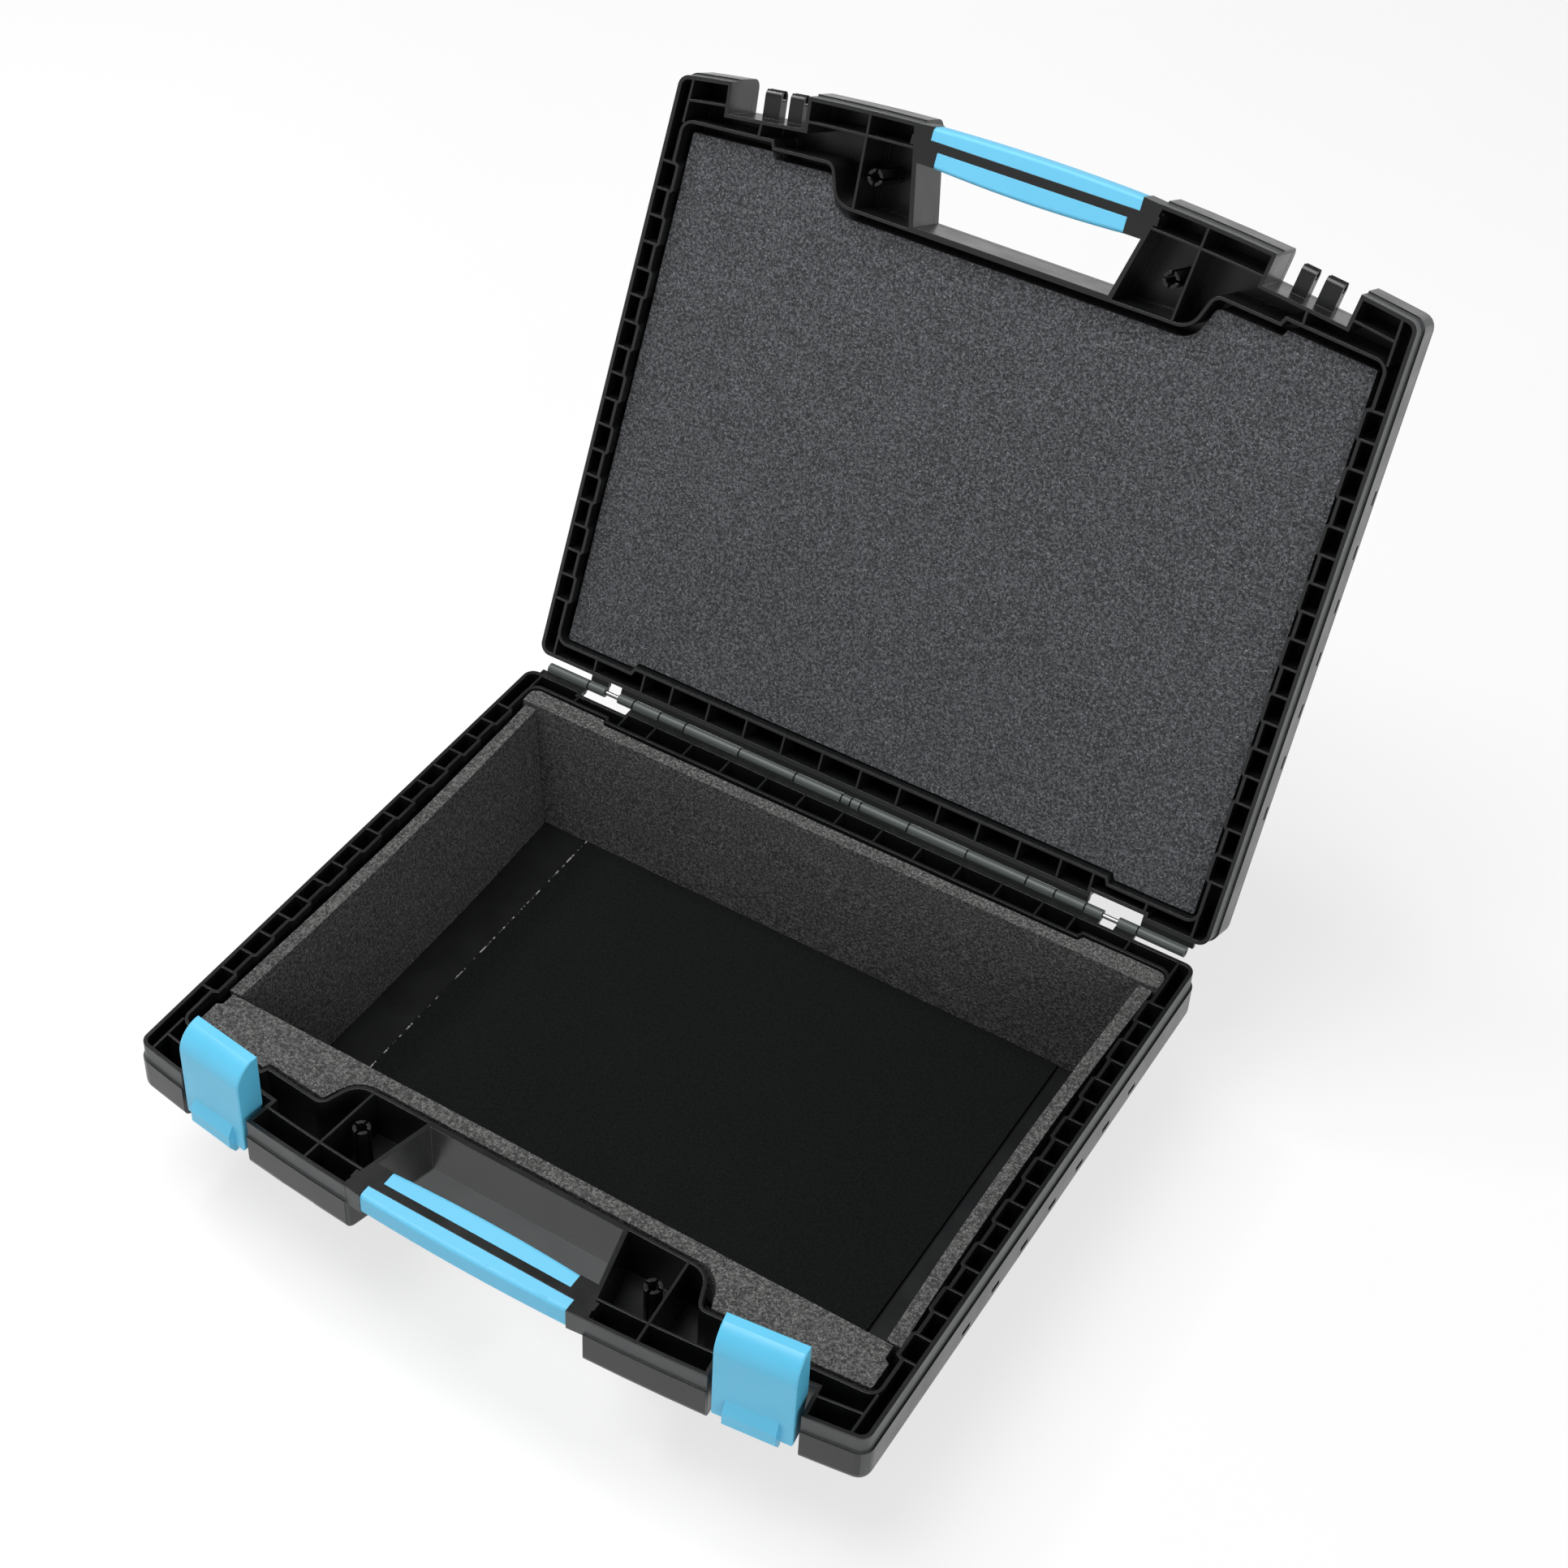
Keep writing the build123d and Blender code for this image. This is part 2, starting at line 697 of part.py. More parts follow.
# Space inside the tray that the foam lining fills, and the same space drawn back from the front
tray_inside_depth = tray_height - tub_floor_wall
ledge_gap_depth = ledge_depth - foam_gap
lining_face = inner_wall_plan(-cell_wall / 2 - foam_gap)
front_lining_face = inner_wall_plan(-cell_wall / 2 - foam_front_margin)
tub_lining = tub_block(tray_rim, foam_rear_top, tray_inside_depth, -foam_gap)
front_tub_lining = tub_block(tray_rim, foam_side_top, tray_inside_depth, -foam_front_margin)
foam_rear_face_y = rear_wall_y - cell_wall / 2 - foam_thickness
foam_side_face_x = side_wall_x - cell_step - cell_wall / 2 - foam_thickness

# Lengthwise section of the space between the front and rear strips, drawn in by a gap
with BuildSketch() as between_strips:
    with BuildLine():
        Polyline(
            (foam_front_y + foam_gap, 0),
            (foam_rear_face_y - foam_gap, 0),
            (foam_rear_face_y - foam_gap - rear_lean, -tray_inside_depth),
            (foam_front_y + foam_gap + front_lean, -tray_inside_depth),
            close=True,
        )
    make_face()

with BuildPart() as base_foam_rear:
    with BuildSketch(tray_rim.offset(-foam_rear_top)):
        add(lining_face)
    extrude(amount=foam_rear_top - ledge_gap_depth)
    add(tub_lining)
    with BuildSketch(side_plane(tray_rim, 0)):
        with BuildLine():
            Polyline(
                (foam_rear_face_y, 0),
                (rear_y, 0),
                (rear_y, -tray_inside_depth),
                (foam_rear_face_y - rear_lean, -tray_inside_depth),
                close=True,
            )
        make_face()
    extrude(amount=half_width, both=True, mode=Mode.INTERSECT)
base_foam_rear.part.label = "base_foam_rear"
export_step(base_foam_rear.part, "parts/base_foam_rear.step")

with BuildPart() as base_foam_front:
    with BuildSketch(tray_rim.offset(-foam_side_top)):
        add(front_lining_face)
    extrude(amount=foam_side_top - ledge_gap_depth)
    add(front_tub_lining)
    with BuildSketch(side_plane(tray_rim, 0)):
        with BuildLine():
            Polyline(
                (front_y, -foam_side_top),
                (foam_front_y, -foam_side_top),
                (foam_front_y + front_lean, -tray_inside_depth),
                (front_y, -tray_inside_depth),
                close=True,
            )
        make_face()
    extrude(amount=half_width, both=True, mode=Mode.INTERSECT)
base_foam_front.part.label = "base_foam_front"
export_step(base_foam_front.part, "parts/base_foam_front.step")


# Side strip between the front and rear strips, with its inner face parallel to the leaning wall
def build_side_foam(side):
    with BuildPart() as strip:
        with BuildSketch(Plane.XZ):
            with BuildLine():
                Polyline(
                    (side * foam_side_face_x, tray_height - foam_side_top),
                    (side * half_width, tray_height - foam_side_top),
                    (side * half_width, tub_floor_wall),
                    (side * (foam_side_face_x - side_lean), tub_floor_wall),
                    close=True,
                )
            make_face()
        extrude(amount=rear_y - front_y, both=True)
        with BuildSketch(side_plane(tray_rim, 0)):
            add(between_strips.sketch)
        extrude(amount=half_width, both=True, mode=Mode.INTERSECT)
        add(tub_lining, mode=Mode.INTERSECT)
    return strip.part


with BuildPart() as base_foam_left:
    add(build_side_foam(-1))
base_foam_left.part.label = "base_foam_left"
export_step(base_foam_left.part, "parts/base_foam_left.step")

with BuildPart() as base_foam_right:
    add(build_side_foam(1))
base_foam_right.part.label = "base_foam_right"
export_step(base_foam_right.part, "parts/base_foam_right.step")

with BuildPart() as base_floor_sheet:
    with BuildSketch(side_plane(tray_rim, 0)):
        add(between_strips.sketch)
        with Locations((0, floor_sheet_thickness / 2 - tray_inside_depth)):
            Rectangle(2 * rear_y, floor_sheet_thickness, mode=Mode.INTERSECT)
    extrude(amount=floor_sheet_half, both=True)
base_floor_sheet.part.label = "base_floor_sheet"
export_step(base_floor_sheet.part, "parts/base_floor_sheet.step")

with BuildPart() as lid_foam:
    with BuildSketch(lid_rim.offset(-lid_foam_drop)):
        add(panel_plan.sketch)
    extrude(amount=lid_foam_drop + roof_wall + panel_recess - belt_height)
lid_foam.part.label = "lid_foam"
export_step(lid_foam.part, "parts/lid_foam.step")
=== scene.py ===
"""Looks of an open tool case: moulded plastic, soft blue grips, cut foam lining, studio light and camera.

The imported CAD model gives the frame. The hard pieces keep their CAD meshes and get procedural materials. Each
foam piece is rebuilt as its own softened mesh, which replaces its CAD solid. Lengths are in metres, angles in
degrees and powers in watts.
"""

from __future__ import annotations

import json
import logging
import math
from collections.abc import Iterable
from dataclasses import dataclass, field
from enum import Enum
from typing import Union

import bmesh
import bpy
from mathutils import Matrix, Vector, noise

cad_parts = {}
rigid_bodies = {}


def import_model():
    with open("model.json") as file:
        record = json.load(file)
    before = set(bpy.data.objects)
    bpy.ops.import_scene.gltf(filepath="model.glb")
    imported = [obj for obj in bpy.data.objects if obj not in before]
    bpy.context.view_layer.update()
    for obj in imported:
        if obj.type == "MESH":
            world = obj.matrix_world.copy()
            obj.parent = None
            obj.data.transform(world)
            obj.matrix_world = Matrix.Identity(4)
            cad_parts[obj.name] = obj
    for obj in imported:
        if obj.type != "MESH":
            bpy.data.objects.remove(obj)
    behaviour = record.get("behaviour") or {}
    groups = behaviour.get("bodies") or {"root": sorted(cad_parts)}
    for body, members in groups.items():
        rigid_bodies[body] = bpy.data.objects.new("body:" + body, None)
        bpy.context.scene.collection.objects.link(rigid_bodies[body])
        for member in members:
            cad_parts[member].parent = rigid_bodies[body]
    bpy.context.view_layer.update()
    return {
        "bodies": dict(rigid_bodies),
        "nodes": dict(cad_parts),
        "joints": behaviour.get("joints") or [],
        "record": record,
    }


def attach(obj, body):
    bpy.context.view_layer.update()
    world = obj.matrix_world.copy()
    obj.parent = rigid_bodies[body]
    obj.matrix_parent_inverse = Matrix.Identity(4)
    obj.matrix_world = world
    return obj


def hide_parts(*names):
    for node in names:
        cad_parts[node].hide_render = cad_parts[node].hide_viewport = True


LOG = logging.getLogger("tool_case")
MM = 0.001

Triple = tuple[float, float, float]
Colour = Triple
Socket = bpy.types.NodeSocket
Value = Union[Socket, float]


class Slot(str, Enum):
    """Material slots of the part's record, apart from the shells' slot, which no new piece takes."""

    PIN = "pin"
    LATCH = "latch"
    GRIP = "grip"
    TRAY_FOAM = "tray_foam"
    FLOOR_FOAM = "floor_foam"
    LID_FOAM = "lid_foam"


@dataclass(frozen=True)
class CameraPose:
    """A camera that looks at a target from an azimuth and an elevation, as one on a tripod does.

    Attributes:
        focal_px: The focal length in pixels of the photo.
        frame_px: The photo's width in pixels.
        azimuth: The direction to the camera, 0 for straight in front and 90 for the right.
        elevation: How far the camera looks down.
        roll: How far it is turned about its line of sight.
        target: What it looks at.
        distance: How far away the target is.
        shift: The lens shift, in frame widths.
        sensor_mm: The sensor's width.
        clip: The nearest and the farthest distance that it shows.
    """

    focal_px: float = 3539.87
    frame_px: float = 1932.0
    azimuth: float = 32.23
    elevation: float = 41.026
    roll: float = 1.085
    target: Triple = (-0.138418, 0.21144, 0.084)
    distance: float = 1.54028
    shift: tuple[float, float] = (0.07, -0.085)
    sensor_mm: float = 36.0
    clip: tuple[float, float] = (0.01, 50.0)

    def matrix(self) -> Matrix:
        """Works out the camera's place.

        Returns:
            The camera's world matrix.
        """
        az, el, roll = map(math.radians, (self.azimuth, self.elevation, self.roll))
        back = Vector((math.sin(az) * math.cos(el), -math.cos(az) * math.cos(el), math.sin(el)))
        right = (-back).cross(Vector((0, 0, 1))).normalized()
        up = right.cross(-back)
        across = right * math.cos(roll) + up * math.sin(roll)
        upward = up * math.cos(roll) - right * math.sin(roll)
        turn = Matrix((across, upward, back)).transposed().to_4x4()
        return Matrix.Translation(Vector(self.target) + back * self.distance) @ turn

    def create(self) -> None:
        """Creates the scene's camera."""
        data = bpy.data.cameras.new("camera")
        data.sensor_width = self.sensor_mm
        data.lens = self.focal_px / self.frame_px * self.sensor_mm
        data.shift_x, data.shift_y = self.shift
        data.clip_start, data.clip_end = self.clip
        camera = bpy.data.objects.new("camera", data)
        camera.matrix_world = self.matrix()
        bpy.context.scene.collection.objects.link(camera)
        bpy.context.scene.camera = camera


class Graph:
    """A material's node graph, with short calls to add nodes and to link them."""

    MIX_FACTOR, MIX_FIRST, MIX_SECOND, MIX_RESULT = 0, 6, 7, 2
    NOISE_LOW, NOISE_HIGH = 0.3, 0.7
    FLOW_SCALE = 14.0
    BEVEL_SAMPLES = 6

    def __init__(self, name: str) -> None:
        """Starts a material of this name, with its shader."""
        self.material = bpy.data.materials.new(name)
        self.material.use_nodes = True
        self.tree = self.material.node_tree
        self.shader = self.tree.nodes["Principled BSDF"]

    def add(self, kind: str, inputs: dict | None = None, **settings: str | int | bool) -> bpy.types.Node:
        """Adds a node.

        Args:
            kind: The node's type name, such as "ShaderNodeTexNoise".
            inputs: Values or output sockets for the node's inputs, by name or index.
            settings: Attributes to set on the node.

        Returns:
            The new node.
        """
        node = self.tree.nodes.new(kind)
        for key, value in settings.items():
            setattr(node, key, value)
        for key, value in (inputs or {}).items():
            self.set(node, key, value)
        return node

    def set(self, node: bpy.types.Node, key: str | int, value: Value | tuple) -> None:
        """Sets an input to a value, or links an output socket to it.

        Args:
            node: The node that has the input.
            key: The input's name or index.
            value: The value or the output socket.
        """
        if isinstance(value, Socket):
            self.tree.links.new(value, node.inputs[key])
        else:
            node.inputs[key].default_value = value

    def shade(self, inputs: dict[str, Value | tuple]) -> None:
        """Sets inputs of the material's shader.

        Args:
            inputs: Values or output sockets, by the input's name.
        """
        for name, value in inputs.items():
            self.set(self.shader, name, value)

    def place(self) -> Socket:
        """Gives the object coordinates that every texture reads."""
        return self.add("ShaderNodeTexCoord").outputs["Object"]

    def noise(
        self, scale: float, detail: float = 3.0, rough: float = 0.5, at: Socket | None = None
    ) -> Socket:
        """Adds a noise texture.

        Args:
            scale: Features per metre.
            detail: How many finer layers it has.
            rough: How strong the finer layers are.
            at: The coordinates, if they are there already.

        Returns:
            The noise, mostly between 0.3 and 0.7.
        """
        inputs = {"Vector": at or self.place(), "Scale": scale, "Detail": detail, "Roughness": rough}
        return self.add("ShaderNodeTexNoise", inputs).outputs["Fac"]

    def flow(self) -> Socket:
        """Gives the soft flow marks of a moulding, from 0 to 1."""
        return self.spread(self.noise(self.FLOW_SCALE, detail=4.0, rough=0.55))

    def cells(self, scale: float, at: Socket) -> Socket:
        """Adds a cell texture that gives the distance to the nearest cell's middle."""
        return self.add("ShaderNodeTexVoronoi", {"Vector": at, "Scale": scale}).outputs["Distance"]

    def remap(
        self, value: Value, low: float, high: float, to_low: float = 0.0, to_high: float = 1.0
    ) -> Socket:
        """Maps a range of values to another, clamped.

        Args:
            value: The value to map.
            low: The value that becomes to_low.
            high: The value that becomes to_high.
            to_low: The new range's start.
            to_high: The new range's end.

        Returns:
            The mapped value.
        """
        inputs = {"Value": value, "From Min": low, "From Max": high, "To Min": to_low, "To Max": to_high}
        return self.add("ShaderNodeMapRange", inputs).outputs["Result"]

    def spread(self, noise_value: Socket, to_low: float = 0.0, to_high: float = 1.0) -> Socket:
        """Spreads a noise over a whole range, clamped."""
        return self.remap(noise_value, self.NOISE_LOW, self.NOISE_HIGH, to_low, to_high)

    def mix(
        self, factor: Value, first: Colour | Socket, second: Colour | Socket, **settings: str | int | bool
    ) -> Socket:
        """Mixes two colours.

        Args:
            factor: The second colour's share.
            first: The first colour.
            second: The second colour.
            settings: Attributes to set on the node, such as its blend type.

        Returns:
            The mixed colour.
        """
        node = self.add("ShaderNodeMix", data_type="RGBA", **settings)
        self.set(node, self.MIX_FACTOR, factor)
        for index, colour in ((self.MIX_FIRST, first), (self.MIX_SECOND, second)):
            self.set(node, index, colour if isinstance(colour, Socket) else (*colour, 1.0))
        return node.outputs[self.MIX_RESULT]

    def math(self, operation: str, *values: Value) -> Socket:
        """Adds a math node with its values in order."""
        return self.add("ShaderNodeMath", dict(enumerate(values)), operation=operation).outputs[0]

    def product(self, *factors: Value) -> Socket:
        """Multiplies factors, which is also how masks are combined.

        Args:
            factors: The factors.

        Returns:
            Their product.
        """
        total, *others = factors
        for factor in others:
            total = self.math("MULTIPLY", total, factor)
        return total

    def invert(self, mask: Socket) -> Socket:
        """Turns a mask round."""
        return self.math("SUBTRACT", 1.0, mask)

    def bump(self, height: Socket, strength: float, distance: float, normal: Socket | None = None) -> Socket:
        """Adds a bump.

        Args:
            height: The height, from 0 to 1.
            strength: The bump's strength.
            distance: The height that 1 stands for.
            normal: The normals under the bump.

        Returns:
            The new normals.
        """
        inputs = {"Height": height, "Strength": strength, "Distance": distance}
        if normal is not None:
            inputs["Normal"] = normal
        return self.add("ShaderNodeBump", inputs).outputs["Normal"]

    def rounded(self, radius: float) -> Socket:
        """Gives normals that round every edge to a small radius."""
        return self.add("ShaderNodeBevel", {"Radius": radius}, samples=self.BEVEL_SAMPLES).outputs["Normal"]

    def backdrop_rays(self) -> Socket:
        """Tells the rays that show the floor from those that light the object.

        Returns:
            A factor that is 1 for a ray that shows the floor, straight or in a reflection.
        """
        rays = self.add("ShaderNodeLightPath").outputs
        total = rays["Is Camera Ray"]
        for name in ("Is Glossy Ray", "Is Transmission Ray"):
            node = self.add("ShaderNodeMath", {0: total, 1: rays[name]}, operation="ADD", use_clamp=True)
            total = node.outputs[0]
        return total


def scaled(colour: Colour, factor: float) -> Colour:
    """Makes a colour lighter or darker.

    Args:
        colour: The colour.
        factor: What each channel is multiplied by.

    Returns:
        The new colour.
    """
    return tuple(channel * factor for channel in colour)


@dataclass(frozen=True)
class Plastic:
    """A moulded plastic or soft rubber with a fine grain, slight flow marks and rounded edges.

    Attributes:
        name: The material's name.
        colour: The main colour.
        flow_colour: The colour of the flow marks.
        roughness: The mean roughness.
        gloss: The specular level.
        edge: The radius of the edges.
        grain: The grain's strength.
        grain_depth: The grain's depth.
        grain_scale: Grains per metre.
        patch_scale: Patches of roughness per metre.
        patches: How much smoother and rougher the patches are.
    """

    name: str
    colour: Colour
    flow_colour: Colour
    roughness: float
    gloss: float = 0.5
    edge: float = 0.4 * MM
    grain: float = 0.10
    grain_depth: float = 0.12 * MM
    grain_scale: float = 1800.0
    patch_scale: float = 60.0
    patches: tuple[float, float] = (-0.05, 0.06)

    def build(self) -> bpy.types.Material:
        """Builds the material.

        Returns:
            The material with its node graph.
        """
        graph = Graph(self.name)
        smoother, rougher = (self.roughness + change for change in self.patches)
        grain = graph.noise(self.grain_scale, detail=2.0)
        graph.shade({
            "Base Color": graph.mix(graph.flow(), self.colour, self.flow_colour),
            "Roughness": graph.spread(graph.noise(self.patch_scale), smoother, rougher),
            "Normal": graph.bump(grain, self.grain, self.grain_depth, graph.rounded(self.edge)),
            "Specular IOR Level": self.gloss,
        })
        return graph.material


@dataclass(frozen=True)
class HalfPlace:
    """A place in a moulded half's own frame: its rim is at height 0, and its outer face is below.

    Attributes:
        across: The distance from the middle plane.
        along: The place from front to rear.
        height: The height over the rim.
    """

    across: Socket
    along: Socket
    height: Socket


@dataclass(frozen=True)
class Moulding:
    """Black polypropylene of one moulded half: glossy in its cells, with a rougher, spark-eroded outer skin.

    The finish follows from the place alone. The skin is a thin layer along the side, rear and front walls,
    and all that lies beyond the belt; its paler colour is painted sheen, for the white surroundings that the
    rough skin reflects. The barrels of the hinge knuckles are paler too, as a painted highlight, apart from
    rings at their splits that keep the black colour as painted shade.

    Attributes:
        name: The material's name.
        origin: The middle of the half's rim plane.
        turn: How far the half is turned over, 0 for the tray.
        has_tub: Whether the half has a tub, whose inside keeps the inner finish, or a sunk panel.
        inner: The colour in the cells.
        outer: The colour of the outer skin, paler than the cells' as painted sheen.
        barrel_highlight: The colour of the knuckles' barrels, paler as a painted highlight.
        inner_flow: How much lighter the flow marks in the cells are.
        outer_flow: How much lighter the flow marks of the outer skin are.
        half_width: The side wall's distance from the middle plane.
        rear_y: The rear wall's place.
        arc_radius: The radius of the bowed front wall.
        arc_centre_y: The middle of that arc.
        layer: How far the skin lies inside those walls and, as a negative depth, stands outside them.
        skin_top: The skin's upper edge, just below the rim.
        belt_bottom: The belt's lower edge.
        tub: The tub's inner half width, front, rear and floor.
        panel: The height of the sunk panel, and the tolerance for it.
        hinge: The hinge axis, as its place from front to rear and its height.
        flange_start: How far behind the rear wall the hinge's flat flange starts.
        barrel_radius: The radius of the knuckles' barrels.
        splits: The distances of the knuckles' splits from the middle plane.
        split_half: Half the width of the rings of painted shade there.
        roughness: The inner and the outer roughness.
        gloss: The specular level, and its value on the flange.
        patch_scale: Patches of roughness per metre.
        patches: How much smoother and rougher the patches are.
        edge: The radius of the edges.
        grain: The grain's strength.
        grain_depth: The grain's depth.
        grain_scale: Grains per metre.
        inner_grain: The share of the grain that the cells have.
    """

    name: str
    origin: Triple
    turn: float = 0.0
    has_tub: bool = False
    inner: Colour = (0.0060, 0.0063, 0.0065)
    # The outer skin's paler colour is painted sheen, for the white surroundings that its rough finish reflects.
    outer: Colour = (0.044, 0.047, 0.048)
    barrel_highlight: Colour = (0.056, 0.067, 0.065)
    inner_flow: float = 1.4
    outer_flow: float = 1.15
    half_width: float = 0.1944
    rear_y: float = 0.157
    arc_radius: float = 1.18898
    arc_centre_y: float = 1.01598
    layer: tuple[float, float] = (1.4 * MM, -0.3 * MM)
    skin_top: float = -0.8 * MM
    belt_bottom: float = -29.0 * MM
    tub: tuple[float, float, float, float] = (0.172, -0.113, 0.134, -0.0825)
    panel: tuple[float, float] = (-24.8 * MM, 0.8 * MM)
    hinge: tuple[float, float] = (0.163, 0.0002)
    flange_start: float = 0.5 * MM
    barrel_radius: float = 2.85 * MM
    splits: tuple[float, ...] = (0.0, 0.0055, 0.0331, 0.0664, 0.0998, 0.1155, 0.1319, 0.1603)
    split_half: float = 0.45 * MM
    roughness: tuple[float, float] = (0.27, 0.44)
    gloss: tuple[float, float] = (0.42, 0.16)
    patch_scale: float = 60.0
    patches: tuple[float, float] = (-0.04, 0.05)
    edge: float = 0.4 * MM
    grain: float = 0.22
    grain_depth: float = 0.12 * MM
    grain_scale: float = 1500.0
    inner_grain: float = 0.25

    def build(self) -> bpy.types.Material:
        """Builds the material.

        Returns:
            The material with its node graph.
        """
        graph = Graph(self.name)
        place = self.place(graph)
        skin, knuckle_highlight = self.skin(graph, place), self.knuckle_highlight(graph, place)
        flow = graph.flow()
        inner = graph.mix(flow, self.inner, scaled(self.inner, self.inner_flow))
        outer = graph.mix(flow, self.outer, scaled(self.outer, self.outer_flow))
        rough = graph.remap(graph.math("MAXIMUM", skin, knuckle_highlight), 0.0, 1.0, *self.roughness)
        patches = graph.spread(graph.noise(self.patch_scale), *self.patches)
        grain = graph.noise(self.grain_scale, detail=2.0)
        grain = graph.product(grain, graph.remap(skin, 0.0, 1.0, self.inner_grain, 1.0))
        behind = graph.math("GREATER_THAN", place.along, self.rear_y + self.flange_start)
        flange = graph.math("SUBTRACT", behind, knuckle_highlight)
        graph.shade({
            # Painted sheen on the skin and a painted highlight on the knuckles' barrels, both as paler colours.
            "Base Color": graph.mix(knuckle_highlight, graph.mix(skin, inner, outer), self.barrel_highlight),
            "Roughness": graph.math("ADD", rough, patches),
            "Normal": graph.bump(grain, self.grain, self.grain_depth, graph.rounded(self.edge)),
            "Specular IOR Level": graph.remap(flange, 0.0, 1.0, *self.gloss),
        })
        return graph.material

    def place(self, graph: Graph) -> HalfPlace:
        """Gives the place in the half's own frame.

        Args:
            graph: The material's graph.

        Returns:
            The place, as sockets.
        """
        inputs = {"Vector": graph.place(), "Location": self.origin, "Rotation": self.frame_turn()}
        local = graph.add("ShaderNodeMapping", inputs, vector_type="TEXTURE").outputs[0]
        across, along, height = graph.add("ShaderNodeSeparateXYZ", {0: local}).outputs
        return HalfPlace(graph.math("ABSOLUTE", across), along, height)

    def frame_turn(self) -> Triple:
        """Works out the turn of the half's own frame.

        Returns:
            The turn, as Euler angles in radians.
        """
        if not self.turn:
            return (0.0, 0.0, 0.0)
        lean = math.radians(self.turn)
        across = Vector((-1, 0, 0))
        along = Vector((0, math.cos(lean), -math.sin(lean)))
        frame = Matrix((across, along, across.cross(along))).transposed()
        return tuple(frame.to_euler("XYZ"))

    def knuckle_highlight(self, graph: Graph, place: HalfPlace) -> Socket:
        """Finds the barrels with their painted highlight, apart from rings of painted shade at the splits.

        Args:
            graph: The material's graph.
            place: The place in the half's own frame.

        Returns:
            A mask that is 1 where the highlight is painted.
        """
        offsets = [graph.math("SUBTRACT", *pair) for pair in zip((place.along, place.height), self.hinge)]
        squares = graph.math("ADD", *(graph.product(offset, offset) for offset in offsets))
        # Rings at the splits keep the black colour: painted shade where the knuckles meet.
        rings = [graph.math("COMPARE", place.across, split, self.split_half) for split in self.splits]
        barrel_highlight = graph.math("LESS_THAN", squares, self.barrel_radius**2)
        return graph.product(barrel_highlight, *(graph.invert(ring) for ring in rings))

    def skin(self, graph: Graph, place: HalfPlace) -> Socket:
        """Finds the outer skin, which gets the rougher finish and the paler colour of painted sheen.

        Args:
            graph: The material's graph.
            place: The place in the half's own frame.

        Returns:
            A mask that is 1 on the skin.
        """
        run = graph.math("SUBTRACT", place.along, self.arc_centre_y)
        squares = graph.math("ADD", graph.math("POWER", place.across, 2.0), graph.product(run, run))
        front = graph.math("SUBTRACT", self.arc_radius, graph.math("SQRT", squares))
        side = graph.math("SUBTRACT", self.half_width, place.across)
        rear = graph.math("SUBTRACT", self.rear_y, place.along)
        depth = graph.math("MINIMUM", graph.math("MINIMUM", side, rear), front)
        inmost, outmost = self.layer
        wall = graph.product(
            graph.math("LESS_THAN", depth, inmost),
            graph.math("GREATER_THAN", depth, outmost),
            graph.math("LESS_THAN", place.height, self.skin_top),
        )
        beyond = graph.math("LESS_THAN", place.height, self.belt_bottom)
        if self.has_tub:
            beyond = graph.product(beyond, graph.invert(self.tub_inside(graph, place)))
        else:
            beyond = graph.math("MAXIMUM", beyond, graph.math("COMPARE", place.height, *self.panel))
        return graph.math("MAXIMUM", wall, beyond)

    def tub_inside(self, graph: Graph, place: HalfPlace) -> Socket:
        """Finds the inside of the tub.

        Args:
            graph: The material's graph.
            place: The place in the half's own frame.

        Returns:
            A mask that is 1 inside the tub.
        """
        half_width, front, rear, floor = self.tub
        return graph.product(
            graph.math("LESS_THAN", place.across, half_width),
            graph.math("LESS_THAN", place.along, rear),
            graph.math("GREATER_THAN", place.along, front),
            graph.math("GREATER_THAN", place.height, floor),
        )


